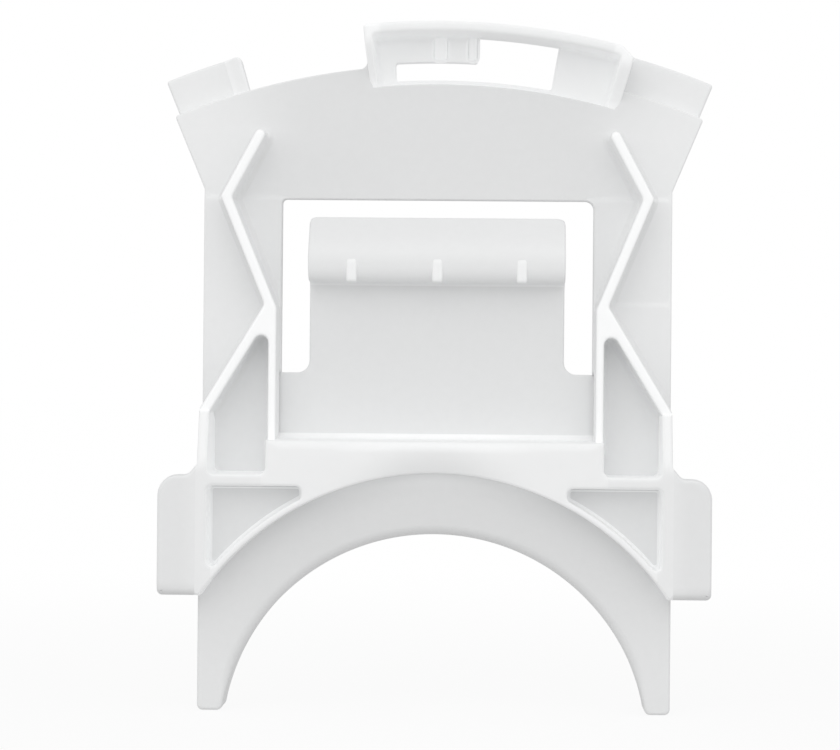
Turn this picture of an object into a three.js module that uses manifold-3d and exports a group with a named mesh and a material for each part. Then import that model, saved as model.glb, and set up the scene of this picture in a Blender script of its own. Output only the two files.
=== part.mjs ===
// Snap-in moulded holder: a flat plate with a window and a spring tongue, a half-round saddle
// between two legs below, side ears, stiffening ribs and a shallow catch tray on the top rim.
// Millimetres. X runs across, Z up from the leg tips, and the ribbed front faces -Y.
// A "level" is the height of a face in front of the plate's front face, towards -Y.

import * as THREE from "three";
import * as BufferGeometryUtils from "three/addons/utils/BufferGeometryUtils.js";
import Module from "manifold-3d";

const wasm = await Module();
wasm.setup();

// ---- Driving dimensions -------------------------------------------------------------------
const SADDLE_R = 29.8; // the half-round cradle, for a barrel of about 60 mm
const HALF_WIDTH = 32.75; // plate columns, side walls and legs
const WALL = 1.6; // side walls, shelves and rims
const RIB = 1.6; // stiffening ribs on the plate
const PLATE = 2.0; // plate and web thickness
const ARC_STEP = 2.5; // degrees between points along an arc

// ---- Levels (mm in front of the plate's front face) ---------------------------------------
const BACK = -PLATE;
const TRAY_BACK = -3.2;
const TRAY_FLOOR = -1.2;
const TAB_FRONT = -1.5;
const WEB_FRONT = 5.0;
const WEB_BACK = WEB_FRONT - PLATE;
const RIB_FRONT = 5.8;
const RAIL_FRONT = 5.5;
const CRADLE_FRONT = 9.0;

// ---- Centres and radii of the arcs --------------------------------------------------------
const ARC_Z = -5.75; // every rim, tray and belt arc is struck from this point below the legs
const SADDLE_Z = -5.2;
const BELT_IN = 38.85; // inner edge of the belt rib above the saddle
const BELT_OUT = 39.85;
const TRAY_IN = 93.2;
const SLOT_IN = 93.85;
const SLOT_MID = 96.4;
const RIM_R = 95.9;
const RAIL_IN = 100.0;
const RAIL_OUT = 101.5;
const TAB_OUT = 101.0;

// ---- Angles from the vertical, in degrees, positive to the right --------------------------
const WALL_L_OUT = -5.95;
const WALL_L_IN = -5.25;
const WALL_R_IN = 14.6;
const WALL_R_OUT = 15.65;
const WING = 22.7;
const TAB_START = 16.1; // inner end of the left tab; the right one starts at the tray's wall
const TAB_END = 22.35;
const SLOT_L = -3.65;
const SLOT_STEP = 3.2;
const SLOT_R = 9.65;
const BRIDGE_END = 27.4;
const SWEEP = 1.35; // width of the left tab's swept-up end

// ---- Heights ------------------------------------------------------------------------------
const SHELF_LOW = 31.2;
const SHELF_TOP = 32.9;
const EAR_LOW = 16.1;
const EAR_TOP = 32.75;
const BRIDGE_TOP = 37.65;
const WALL_TOP = 41.6;
const ROOT_Z = 46.9; // bottom of the two slots, where the tongue starts
const LIP_FOOT = 59.55;
const LIP_END = 68.65;
const WINDOW_TOP = 71.2;
const WAIST = 72.55;

// ---- Widths -------------------------------------------------------------------------------
const WINDOW_X = 21.8;
const TONGUE_X = 17.85;
const TONGUE_T = 1.6;
const ROOT_GAP = 0.3;
const POST_IN = 22.0;
const BRIDGE_X = 23.3;
const EAR_X = 38.1;
const EAR_T = 2.4;

const rad = THREE.MathUtils.degToRad;

// ---- Outline helpers ----------------------------------------------------------------------

function polar(radius, degrees, centreZ = ARC_Z) {
  return [radius * Math.sin(rad(degrees)), centreZ + radius * Math.cos(rad(degrees))];
}

// Points along an arc struck from the object's centreline, both ends included.
function arc(radius, from, to, centreZ = ARC_Z) {
  const count = Math.max(1, Math.ceil(Math.abs(to - from) / ARC_STEP));
  const points = [];
  for (let i = 0; i <= count; i += 1) {
    points.push(polar(radius, from + ((to - from) * i) / count, centreZ));
  }
  return points;
}

// Replaces one corner of an outline by a round of the given radius.
function corner(before, at, after, radius, count = 5) {
  const a = new THREE.Vector2(before[0] - at[0], before[1] - at[1]).normalize();
  const b = new THREE.Vector2(after[0] - at[0], after[1] - at[1]).normalize();
  const half = Math.acos(THREE.MathUtils.clamp(a.dot(b), -1, 1)) / 2;
  const reach = radius / Math.tan(half);
  const middle = a.clone().add(b).normalize().multiplyScalar(radius / Math.sin(half));
  const start = a.clone().multiplyScalar(reach).sub(middle);
  const end = b.clone().multiplyScalar(reach).sub(middle);
  const turn = Math.atan2(start.x * end.y - start.y * end.x, start.dot(end));
  const points = [];
  for (let i = 0; i <= count; i += 1) {
    const p = start.clone().rotateAround(new THREE.Vector2(), (turn * i) / count).add(middle);
    points.push([at[0] + p.x, at[1] + p.y]);
  }
  return points;
}

// An outline from corners written [x, z] or [x, z, radius].
function rounded(corners) {
  const points = [];
  corners.forEach((at, i) => {
    const before = corners[(i + corners.length - 1) % corners.length];
    const after = corners[(i + 1) % corners.length];
    if (at.length > 2) {
      points.push(...corner(before, at, after, at[2]));
    } else {
      points.push(at);
    }
  });
  return points;
}

function mirrored(points) {
  return points.map(([x, z]) => [-x, z]).reverse();
}

// The outline of a straight or bent rib of even width along a centreline.
function strip(line, width) {
  const left = [];
  const right = [];
  line.forEach((p, i) => {
    const before = line[Math.max(0, i - 1)];
    const after = line[Math.min(line.length - 1, i + 1)];
    const inward = new THREE.Vector2(p[0] - before[0], p[1] - before[1]);
    const onward = new THREE.Vector2(after[0] - p[0], after[1] - p[1]);
    const a = (inward.lengthSq() > 0 ? inward : onward).clone().normalize();
    const b = (onward.lengthSq() > 0 ? onward : inward).clone().normalize();
    const along = a.clone().add(b).normalize();
    const reach = width / 2 / Math.max(along.dot(a), 0.3);
    left.push([p[0] - along.y * reach, p[1] + along.x * reach]);
    right.push([p[0] + along.y * reach, p[1] - along.x * reach]);
  });
  return [...left, ...right.reverse()];
}

// ---- Solid helpers ------------------------------------------------------------------------

function shapeOf(points, holes = []) {
  const shape = new THREE.Shape(points.map(([x, z]) => new THREE.Vector2(x, z)));
  for (const hole of holes) {
    shape.holes.push(new THREE.Path(hole.map(([x, z]) => new THREE.Vector2(x, z))));
  }
  return shape;
}

// A slab of an outline between two levels.
function slab(points, back, front, holes = []) {
  const geometry = new THREE.ExtrudeGeometry(shapeOf(points, holes), {
    depth: front - back,
    bevelEnabled: false,
  });
  geometry.rotateX(Math.PI / 2);
  geometry.translate(0, -back, 0);
  return geometry;
}

// A slab whose front follows frontAt(x, z) at the points of its outline.
function sloped(points, back, frontAt) {
  const flat = back + 1;
  const geometry = slab(points, back, flat);
  const place = geometry.getAttribute("position");
  for (let i = 0; i < place.count; i += 1) {
    if (Math.abs(place.getY(i) + flat) < 1e-6) {
      place.setY(i, -frontAt(place.getX(i), place.getZ(i)));
    }
  }
  return geometry;
}

// A bar of a side profile, written [level, z], running across between two X values.
function bar(profile, fromX, toX) {
  const facing = profile.map(([level, z]) => [-level, z]);
  const geometry = new THREE.ExtrudeGeometry(shapeOf(facing), {
    depth: toX - fromX,
    bevelEnabled: false,
  });
  const turn = new THREE.Matrix4().set(0, 0, 1, 0, 1, 0, 0, 0, 0, 1, 0, 0, 0, 0, 0, 1);
  geometry.applyMatrix4(turn);
  geometry.translate(fromX, 0, 0);
  return geometry;
}

function solid(geometry) {
  const bare = new THREE.BufferGeometry();
  bare.setAttribute("position", geometry.getAttribute("position").clone());
  if (geometry.index) {
    bare.setIndex(geometry.index.clone());
  }
  const merged = BufferGeometryUtils.mergeVertices(bare, 1e-4);
  const vertProperties = Float32Array.from(merged.getAttribute("position").array);
  const triVerts = Uint32Array.from(merged.index.array);
  return new wasm.Manifold(new wasm.Mesh({ numProp: 3, vertProperties, triVerts }));
}

function geometryOf(body) {
  const mesh = body.getMesh();
  const geometry = new THREE.BufferGeometry();
  geometry.setAttribute("position", new THREE.BufferAttribute(mesh.vertProperties, 3));
  geometry.setIndex(new THREE.BufferAttribute(mesh.triVerts, 1));
  const split = geometry.toNonIndexed();
  split.computeVertexNormals();
  return split;
}

function joined(...geometries) {
  return geometryOf(geometries.map(solid).reduce((sum, next) => sum.add(next)));
}

function cut(geometry, ...tools) {
  return geometryOf(tools.map(solid).reduce((rest, tool) => rest.subtract(tool), solid(geometry)));
}

// ---- Colours ------------------------------------------------------------------------------
const MILK = 0xeceeef;
const MILK_DEEP = 0xe2e5e7;
const MILK_EDGE = 0xf5f6f6;

const group = new THREE.Group();
group.name = "movement_holder";
group.position.y = (CRADLE_FRONT + TRAY_BACK) / 2; // puts the middle of the depth at Y = 0

function add(name, geometry, colour = MILK, roughness = 0.45) {
  const material = new THREE.MeshStandardMaterial({ color: colour, roughness, metalness: 0 });
  const mesh = new THREE.Mesh(geometry, material);
  mesh.name = name;
  group.add(mesh);
}

// Adds the right-hand piece and its mirror image on the left.
function addPair(name, outline, make, colour) {
  add(`${name}_right`, make(outline), colour);
  add(`${name}_left`, make(mirrored(outline)), colour);
}

// ---- Base plate ---------------------------------------------------------------------------

// The line where the plate stops and the web in front of it starts, from right to left.
function stepLine() {
  const stepAngle = THREE.MathUtils.radToDeg(Math.acos((SHELF_LOW - ARC_Z) / BELT_IN));
  return [[HALF_WIDTH, SHELF_LOW], ...arc(BELT_IN, stepAngle, -stepAngle), [-HALF_WIDTH, SHELF_LOW]];
}

function plateOutline() {
  return [
    ...stepLine(),
    [-HALF_WIDTH, WAIST],
    ...arc(RIM_R, -WING, WALL_L_OUT),
    ...arc(TRAY_IN, WALL_L_OUT, WALL_R_OUT),
    ...arc(RIM_R, WALL_R_OUT, WING),
    [HALF_WIDTH, WAIST],
  ];
}

function windowOutline() {
  return rounded([
    [-WINDOW_X, ROOT_Z, 0.3],
    [WINDOW_X, ROOT_Z, 0.3],
    [WINDOW_X, WINDOW_TOP, 1.2],
    [-WINDOW_X, WINDOW_TOP, 0.6],
  ]);
}

add("base_plate", slab(plateOutline(), BACK, 0, [windowOutline()]));

// ---- Saddle web, its rims and the legs ----------------------------------------------------

const saddleEnd = THREE.MathUtils.radToDeg(Math.acos(-SADDLE_Z / SADDLE_R));

function webOutline() {
  const tipCorner = 0.8;
  const inner = polar(SADDLE_R, saddleEnd, SADDLE_Z);
  const above = polar(SADDLE_R, saddleEnd - 5, SADDLE_Z);
  const outerTop = [HALF_WIDTH, SHELF_LOW];
  const right = [
    ...corner(above, inner, [HALF_WIDTH, 0], tipCorner),
    ...corner(inner, [HALF_WIDTH, 0], outerTop, tipCorner),
  ];
  return [
    ...arc(SADDLE_R, -saddleEnd + 5, saddleEnd - 5, SADDLE_Z),
    ...right,
    ...stepLine(),
    ...mirrored(right),
  ];
}

add("saddle_web", slab(webOutline(), WEB_BACK, WEB_FRONT), MILK_DEEP);

function saddleRimOutline() {
  const end = saddleEnd - 0.8;
  return [
    ...arc(SADDLE_R, -end, end, SADDLE_Z),
    ...arc(SADDLE_R + WALL, end, -end, SADDLE_Z),
  ];
}

const saddleRim = slab(saddleRimOutline(), BACK, WEB_BACK);
add("saddle_rim", saddleRim, MILK_DEEP);

// Each leg's rim closes onto the saddle rim over its foot, so that the tip is solid.
const FOOT_H = 6;
const legRim = rounded([
  [HALF_WIDTH - 2 * WALL, 0],
  [HALF_WIDTH, 0, 0.8],
  [HALF_WIDTH, SHELF_LOW],
  [HALF_WIDTH - WALL, SHELF_LOW],
  [HALF_WIDTH - WALL, FOOT_H],
  [HALF_WIDTH - 2 * WALL, FOOT_H - 1],
]);
addPair("leg_rim", legRim, (o) => cut(slab(o, BACK, WEB_BACK), saddleRim), MILK_DEEP);

// ---- Bridge over the saddle ---------------------------------------------------------------

function bridge() {
  const pocketEnd = polar(BELT_OUT, BRIDGE_END)[0];
  const lower = [
    [BRIDGE_X, SHELF_LOW],
    [BRIDGE_X, BRIDGE_TOP],
    [-BRIDGE_X, BRIDGE_TOP],
    [-BRIDGE_X, SHELF_LOW],
    ...stepLine().slice(1, -1).reverse(),
  ];
  const front = [
    [BRIDGE_X, SHELF_LOW],
    [BRIDGE_X, BRIDGE_TOP],
    [-BRIDGE_X, BRIDGE_TOP],
    [-BRIDGE_X, SHELF_LOW],
    [-pocketEnd, SHELF_LOW],
    ...arc(BELT_IN, -BRIDGE_END, BRIDGE_END),
    [pocketEnd, SHELF_LOW],
  ];
  return joined(slab(lower, 0, WEB_FRONT), slab(front, WEB_FRONT, CRADLE_FRONT));
}

add("saddle_bridge", bridge());

// ---- Walls round the cradle ---------------------------------------------------------------

const wallInner = HALF_WIDTH - WALL;

function beltOutline() {
  const end = THREE.MathUtils.radToDeg(Math.asin(wallInner / BELT_IN));
  const outerEnd = THREE.MathUtils.radToDeg(Math.asin(wallInner / BELT_OUT));
  return [...arc(BELT_IN, BRIDGE_END, end), ...arc(BELT_OUT, outerEnd, BRIDGE_END)];
}

addPair("belt_rib", beltOutline(), (o) => slab(o, WEB_FRONT, CRADLE_FRONT), MILK_EDGE);

const shelf = [
  [BRIDGE_X, SHELF_LOW],
  [wallInner, SHELF_LOW],
  [wallInner, SHELF_TOP],
  [BRIDGE_X, SHELF_TOP],
];
addPair("shelf", shelf, (o) => slab(o, 0, CRADLE_FRONT), MILK_EDGE);

// The side wall stands on the web below the shelf and on the plate above it. Its front edge
// falls from the cradle's level to the ribs' level over its top part.
function sideWall(sign) {
  const beltFoot = Math.sqrt(BELT_IN ** 2 - wallInner ** 2) + ARC_Z;
  const low = [
    [wallInner, beltFoot],
    [HALF_WIDTH, EAR_LOW],
    [HALF_WIDTH, SHELF_LOW],
    [wallInner, SHELF_LOW],
  ];
  const fall = [
    [0, SHELF_LOW],
    [CRADLE_FRONT, SHELF_LOW],
    [CRADLE_FRONT, SHELF_TOP + 1],
    [RIB_FRONT + 0.4, WALL_TOP],
    [0, WALL_TOP],
  ];
  const lowPart = slab(sign > 0 ? low : mirrored(low), WEB_FRONT, CRADLE_FRONT);
  const edges = [sign * wallInner, sign * HALF_WIDTH].sort((a, b) => a - b);
  return joined(lowPart, bar(fall, edges[0], edges[1]));
}

add("side_wall_right", sideWall(1), MILK_EDGE);
add("side_wall_left", sideWall(-1), MILK_EDGE);

const ear = rounded([
  [HALF_WIDTH, EAR_LOW],
  [EAR_X, EAR_LOW, 0.8],
  [EAR_X, EAR_TOP, 2.8],
  [HALF_WIDTH + 1.2, EAR_TOP, 1.1],
  [HALF_WIDTH, EAR_TOP + 1.5],
]);
addPair("ear", ear, (o) => slab(o, CRADLE_FRONT - EAR_T, CRADLE_FRONT));

// ---- Ribs on the plate --------------------------------------------------------------------

const POST_OUT = POST_IN + 1.3;
const ELBOW_Z = 56.6;
const elbow = [(POST_IN + POST_OUT) / 2, ELBOW_Z];

const post = [
  [POST_IN, BRIDGE_TOP],
  [POST_OUT, BRIDGE_TOP],
  [POST_OUT, ELBOW_Z],
  [POST_IN, ELBOW_Z],
];
addPair("post_rib", post, (o) => slab(o, 0, RIB_FRONT), MILK_EDGE);

const zigzagLine = [
  [elbow[0] + 0.1, ELBOW_Z - 1],
  [29.2, 71.2],
  [24.6, 79.8],
];

function zigzag(sign) {
  const body = strip(zigzagLine, RIB);
  const side = (outline) => (sign > 0 ? outline : mirrored(outline));
  const end = new THREE.CylinderGeometry(RIB / 2, RIB / 2, RIB_FRONT, 16);
  end.translate(sign * zigzagLine[2][0], -RIB_FRONT / 2, zigzagLine[2][1]);
  const whole = joined(slab(side(body), 0, RIB_FRONT), end);
  return cut(whole, slab(side(post), -1, RIB_FRONT + 1));
}

add("zigzag_rib_right", zigzag(1), MILK_EDGE);
add("zigzag_rib_left", zigzag(-1), MILK_EDGE);

const diagonalLine = [
  [22.9, 56.45],
  [32.5, 40.65],
];

function diagonal(sign) {
  const side = (outline) => (sign > 0 ? outline : mirrored(outline));
  const body = slab(side(strip(diagonalLine, RIB)), 0, RIB_FRONT);
  const wallZone = [
    [wallInner, SHELF_TOP],
    [HALF_WIDTH + 3, SHELF_TOP],
    [HALF_WIDTH + 3, WALL_TOP],
    [wallInner, WALL_TOP],
  ];
  const outside = [
    [HALF_WIDTH, WALL_TOP - 1],
    [HALF_WIDTH + 5, WALL_TOP - 1],
    [HALF_WIDTH + 5, WALL_TOP + 5],
    [HALF_WIDTH, WALL_TOP + 5],
  ];
  const tool = (outline) => slab(side(outline), -1, RIB_FRONT + 1);
  const zig = slab(side(strip(zigzagLine, RIB)), -1, RIB_FRONT + 1);
  return cut(body, tool(wallZone), tool(outside), tool(post), zig);
}

add("diagonal_rib_right", diagonal(1), MILK_EDGE);
add("diagonal_rib_left", diagonal(-1), MILK_EDGE);

// ---- Tabs on the top rim ------------------------------------------------------------------

// The plate's own outline trims whatever stands against its rim.
const plateBlock = slab(plateOutline(), TRAY_BACK - 1, 1);

function rimTab(start) {
  return [...arc(RIM_R, start, TAB_END), polar(TAB_OUT, TAB_END), polar(TAB_OUT, start)];
}

const besideTray = WALL_R_OUT + 0.02;
add("rim_tab_right", cut(slab(rimTab(besideTray), TRAY_BACK, TAB_FRONT), plateBlock));
add("rim_tab_left", cut(slab(mirrored(rimTab(TAB_START)), TRAY_BACK, TAB_FRONT), plateBlock));

// The left tab's inner end sweeps up from the tab's face towards the plate's level.
function tabWall() {
  const angles = [0, 1 / 3, 2 / 3, 1].map((t) => -TAB_START - SWEEP * t);
  const outline = [
    ...angles.map((angle) => polar(RIM_R, angle)),
    ...angles.reverse().map((angle) => polar(TAB_OUT, angle)),
  ];
  const topLevel = -0.2;
  const frontAt = (x, z) => {
    const angle = THREE.MathUtils.radToDeg(Math.atan2(-x, z - ARC_Z));
    const t = THREE.MathUtils.smoothstep(TAB_START + SWEEP - angle, 0, SWEEP);
    return TAB_FRONT + (topLevel - TAB_FRONT) * t;
  };
  return cut(sloped(outline, TAB_FRONT, frontAt), plateBlock);
}

add("tab_wall_left", tabWall(), MILK_EDGE);

// ---- Catch tray ---------------------------------------------------------------------------

function railOutline() {
  return [
    ...arc(RAIL_IN, WALL_L_OUT, WALL_R_OUT),
    polar(RAIL_IN + 0.3, WALL_R_OUT - 0.1),
    ...arc(RAIL_OUT, WALL_R_OUT - 1.1, WALL_L_OUT),
  ];
}

const rail = slab(railOutline(), TRAY_BACK, RAIL_FRONT);
add("top_rail", rail, MILK_EDGE);

function trayFloorOutline() {
  return [
    ...arc(TRAY_IN - 0.2, WALL_L_IN, WALL_R_IN),
    ...arc(RAIL_IN, WALL_R_IN, SLOT_R),
    ...arc(SLOT_IN, SLOT_R, SLOT_L),
    ...arc(SLOT_MID, SLOT_L, SLOT_STEP),
    ...arc(RAIL_IN, SLOT_STEP, WALL_L_IN),
  ];
}

add("tray_floor", cut(slab(trayFloorOutline(), TRAY_BACK, TRAY_FLOOR), rail, plateBlock), MILK_DEEP);

// A tray wall sweeps down from the rail to the plate's level.
function trayWall(from, to) {
  const whole = [...arc(TRAY_IN, from, to), ...arc(RAIL_IN, to, from)];
  const body = slab(whole, TRAY_BACK, RAIL_FRONT);
  const rampFoot = TRAY_IN + 0.1;
  const rampTop = RAIL_IN - 0.6;
  const steps = 6;
  const ramp = [[0, TRAY_IN - 1]];
  for (let i = 0; i <= steps; i += 1) {
    const t = i / steps;
    ramp.push([RAIL_FRONT * THREE.MathUtils.smoothstep(t, 0, 1), rampFoot + (rampTop - rampFoot) * t]);
  }
  ramp.push([RAIL_FRONT + 1, rampTop], [RAIL_FRONT + 1, TRAY_IN - 1]);
  const reach = 4;
  const tool = bar(ramp, -reach, reach);
  tool.rotateY(rad((from + to) / 2));
  tool.translate(0, 0, ARC_Z);
  return cut(body, tool, rail, plateBlock);
}

add("tray_wall_left", trayWall(WALL_L_OUT, WALL_L_IN), MILK_EDGE);
add("tray_wall_right", trayWall(WALL_R_IN, WALL_R_OUT), MILK_EDGE);

const FLOOR_RIB_FRONT = -0.6;
const FLOOR_RIBS = [
  [-0.75, 1.15],
  [4.05, 5.3],
];
FLOOR_RIBS.forEach(([left, right], i) => {
  const low = ARC_Z + Math.sqrt(SLOT_MID ** 2 - left ** 2) + 0.3;
  const high = ARC_Z + Math.sqrt(RAIL_IN ** 2 - right ** 2) - 0.05;
  const outline = [
    [left, low],
    [right, low],
    [right, high],
    [left, high],
  ];
  add(`floor_rib_${i + 1}`, slab(outline, TRAY_FLOOR, FLOOR_RIB_FRONT), MILK_EDGE);
});

// ---- Spring tongue ------------------------------------------------------------------------

const ROOT_FLARE = 1.7;

function tongueOutline() {
  const foot = ROOT_Z + ROOT_GAP;
  const flare = rounded([
    [TONGUE_X + ROOT_FLARE, foot],
    [TONGUE_X, foot, ROOT_FLARE - 0.01],
    [TONGUE_X, LIP_FOOT],
  ]).slice(1, -1);
  return [[-TONGUE_X, LIP_FOOT], ...mirrored(flare), ...flare, [TONGUE_X, LIP_FOOT]];
}

add("spring_tongue", slab(tongueOutline(), -TONGUE_T, 0), MILK_DEEP);

// ---- Thumb lip: a sheet bent forward over a round nose and back to its free end -----------

const NOSE = 5.0; // level of the nose's foremost point
const NOSE_R = 2.8;
const BEND_R = 1.5; // inside of the bend
const LIP_T = 1.4;
const SLOPE_END = 1.12; // level of the slope's free end
const slopeFoot = NOSE + NOSE_R - 0.06; // level where the slope's line would reach the lip's foot
const slopeRun = Math.hypot(slopeFoot - SLOPE_END, LIP_END - LIP_FOOT);
const lipAcross = (LIP_T * slopeRun) / (LIP_END - LIP_FOOT); // sheet thickness along a level

function slopeLevel(z) {
  return slopeFoot + ((SLOPE_END - slopeFoot) * (z - LIP_FOOT)) / (LIP_END - LIP_FOOT);
}

function lipProfile() {
  const inside = LIP_FOOT + LIP_T;
  return rounded([
    [-TONGUE_T, LIP_FOOT],
    [slopeFoot, LIP_FOOT, NOSE_R],
    [SLOPE_END, LIP_END, 0.5],
    [SLOPE_END - lipAcross, LIP_END],
    [slopeLevel(inside) - lipAcross, inside, BEND_R],
    [-TONGUE_T, inside],
  ]);
}

const lip = bar(lipProfile(), -TONGUE_X, TONGUE_X);
add("thumb_lip", lip);

// Three small ribs fill the round under the nose out to a square edge.
const GUSSET_X = [-11.8, 0.1, 11.8];
const GUSSET_T = 1.5;
const GUSSET_TOP = LIP_FOOT + 5.4;
const proud = NOSE + 0.15;
const gussetBlock = [
  [NOSE - NOSE_R, LIP_FOOT],
  [proud - 0.5, LIP_FOOT],
  [proud, LIP_FOOT + 0.5],
  [proud, LIP_FOOT + NOSE_R],
  [slopeLevel(GUSSET_TOP), GUSSET_TOP],
  [slopeLevel(GUSSET_TOP) - LIP_T / 2, GUSSET_TOP - LIP_T / 2],
  [NOSE - LIP_T / 2, LIP_FOOT + NOSE_R],
  [NOSE - NOSE_R, LIP_FOOT + LIP_T / 2],
];

GUSSET_X.forEach((x, i) => {
  const block = bar(gussetBlock, x - GUSSET_T / 2, x + GUSSET_T / 2);
  add(`lip_gusset_${i + 1}`, cut(block, lip), MILK_EDGE);
});

export default group;
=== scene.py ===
"""A milky white moulded holder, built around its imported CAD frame.

Shapes are worked in millimetres as outlines across the front (x across, z up) and levels
(height in front of the plate's front face). Every visible piece is a closed moulded solid with
rounded edges, drafted walls and fillets at the feet of its ribs.
"""
import math

import bmesh
import bpy
from mathutils import Matrix, Vector
from mathutils.geometry import delaunay_2d_cdt


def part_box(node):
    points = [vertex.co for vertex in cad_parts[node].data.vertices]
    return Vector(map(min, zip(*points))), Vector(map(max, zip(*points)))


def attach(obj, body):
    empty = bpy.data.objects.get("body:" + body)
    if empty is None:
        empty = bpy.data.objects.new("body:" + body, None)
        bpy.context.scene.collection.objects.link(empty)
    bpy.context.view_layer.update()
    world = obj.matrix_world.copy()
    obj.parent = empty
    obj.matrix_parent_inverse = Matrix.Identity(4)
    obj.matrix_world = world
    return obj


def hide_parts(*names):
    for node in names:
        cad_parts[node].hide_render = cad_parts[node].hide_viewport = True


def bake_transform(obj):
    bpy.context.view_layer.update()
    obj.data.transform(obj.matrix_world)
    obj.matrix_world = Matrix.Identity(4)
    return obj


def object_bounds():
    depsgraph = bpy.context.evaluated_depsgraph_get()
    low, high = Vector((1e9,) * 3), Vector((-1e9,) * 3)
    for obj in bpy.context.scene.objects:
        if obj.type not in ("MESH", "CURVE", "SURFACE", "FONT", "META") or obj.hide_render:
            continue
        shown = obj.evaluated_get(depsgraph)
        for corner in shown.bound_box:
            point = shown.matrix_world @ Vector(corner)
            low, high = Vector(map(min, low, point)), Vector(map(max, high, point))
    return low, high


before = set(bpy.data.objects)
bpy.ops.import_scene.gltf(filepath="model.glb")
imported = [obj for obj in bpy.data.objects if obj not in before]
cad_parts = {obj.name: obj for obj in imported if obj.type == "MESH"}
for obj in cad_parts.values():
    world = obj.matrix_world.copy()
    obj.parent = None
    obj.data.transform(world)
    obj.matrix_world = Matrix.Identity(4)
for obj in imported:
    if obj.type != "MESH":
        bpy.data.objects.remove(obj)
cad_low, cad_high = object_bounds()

MM = 0.001


# ---- Places read from the frame -------------------------------------------------------------


def low(node, axis):
    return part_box(node)[0]["xyz".index(axis)] / MM


def high(node, axis):
    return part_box(node)[1]["xyz".index(axis)] / MM


FRONT_Y = low("base_plate", "y")
HALF = high("saddle_web", "x")
SHELF_LOW = low("shelf_right", "z")
SHELF_TOP = high("shelf_right", "z")
WALL_IN = high("shelf_right", "x")
BRIDGE_X = high("saddle_bridge", "x")
BRIDGE_TOP = high("saddle_bridge", "z")
CRADLE = FRONT_Y - low("saddle_bridge", "y")
WEB_FRONT = FRONT_Y - low("saddle_web", "y")
WEB_BACK = FRONT_Y - high("saddle_web", "y")
RIB_FRONT = FRONT_Y - low("post_rib_right", "y")
RAIL_FRONT = FRONT_Y - low("top_rail", "y")
TRAY_BACK = FRONT_Y - high("tray_floor", "y")
TRAY_FLOOR = FRONT_Y - low("tray_floor", "y")
TAB_FRONT = FRONT_Y - low("rim_tab_right", "y")
BACK = FRONT_Y - high("base_plate", "y")
TONGUE_BACK = FRONT_Y - high("spring_tongue", "y")
NOSE = FRONT_Y - low("thumb_lip", "y")
EAR_X = high("ear_right", "x")
EAR_LOW = low("ear_right", "z")
EAR_BACK = FRONT_Y - high("ear_right", "y")
POST_IN = low("post_rib_right", "x")
POST_OUT = high("post_rib_right", "x")
WALL_TOP = high("side_wall_right", "z")
TONGUE_X = high("thumb_lip", "x")
LIP_FOOT = low("thumb_lip", "z")
LIP_END = high("thumb_lip", "z")
TOP_Z = high("top_rail", "z")

# ---- Dimensions in millimetres and degrees --------------------------------------------------
ARC_Z = -5.75  # centre of the rim, tray and belt arcs
SADDLE_Z = -5.2
SADDLE_R = 29.8
SADDLE_WALL = 1.6
BELT_IN = 38.85
BELT_OUT = 39.85
TRAY_IN = 93.2
SLOT_IN = 93.85
SLOT_MID = 96.4
RIM_R = 95.9
RAIL_IN = 100.0
RAIL_OUT = TOP_Z - ARC_Z
TAB_OUT = 101.0
WALL_L_OUT = -5.95
WALL_L_IN = -5.25
WALL_R_IN = 14.6
WALL_R_OUT = 15.65
WING = 22.7
TAB_START = 16.1
TAB_END = 22.35
SLOT_L = -3.65
SLOT_STEP = 3.2
SLOT_R = 9.65
EAR_TOP = 32.75
WAIST = 72.55
WINDOW_X = 21.8
WINDOW_TOP = 71.2
ROOT_Z = 46.9
ROOT_FLARE = 1.7
PANEL_X = 22.65
PANEL_LOW = 37.2
RIB_W = 1.6
DRAFT = 0.08
SIDES = (("right", 1), ("left", -1))


# ---- Small tools ------------------------------------------------------------------------------


def smooth(t):
    t = min(1.0, max(0.0, t))
    return t * t * (3 - 2 * t)


def polar(radius, degrees, centre=ARC_Z):
    a = math.radians(degrees)
    return (radius * math.sin(a), centre + radius * math.cos(a))


def radius_of(x, z):
    return math.hypot(x, z - ARC_Z)


def angle_of(x, z):
    return math.degrees(math.asin(x / radius_of(x, z)))


def arc(radius, start, end, centre=ARC_Z, step=1.0):
    count = max(1, math.ceil(abs(end - start) / step))
    return [polar(radius, start + (end - start) * i / count, centre) for i in range(count + 1)]


def corner(before, at, after, radius, count=6):
    """The points of a round that replaces a corner."""
    p = Vector(at[:2])
    a = (Vector(before[:2]) - p).normalized()
    b = (Vector(after[:2]) - p).normalized()
    half = a.angle(b) / 2
    centre = p + (a + b).normalized() * (radius / math.sin(half))
    start = p + a * (radius / math.tan(half)) - centre
    end = p + b * (radius / math.tan(half)) - centre
    turn = math.atan2(start.x * end.y - start.y * end.x, start.dot(end))
    points = []
    for i in range(count + 1):
        a = turn * i / count
        x = start.x * math.cos(a) - start.y * math.sin(a)
        z = start.x * math.sin(a) + start.y * math.cos(a)
        points.append((centre.x + x, centre.y + z))
    return points


def rounded(corners):
    """An outline from corners written (x, z) or (x, z, radius)."""
    points = []
    for i, at in enumerate(corners):
        if len(at) > 2:
            points += corner(corners[i - 1], at, corners[(i + 1) % len(corners)], at[2])
        else:
            points.append(tuple(at))
    return points


def mirrored(points):
    return [(-p[0],) + tuple(p[1:]) for p in reversed(points)]


def area(loop):
    return sum(a[0] * b[1] - b[0] * a[1] for a, b in zip(loop, loop[1:] + loop[:1])) / 2


def turned(loop, positive=True):
    return loop if (area(loop) > 0) == positive else loop[::-1]


def cleaned(loop, gap=0.004):
    kept = []
    for p in loop:
        if not kept or math.dist(p, kept[-1]) > gap:
            kept.append(p)
    if math.dist(kept[0], kept[-1]) <= gap:
        kept.pop()
    return kept


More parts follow.
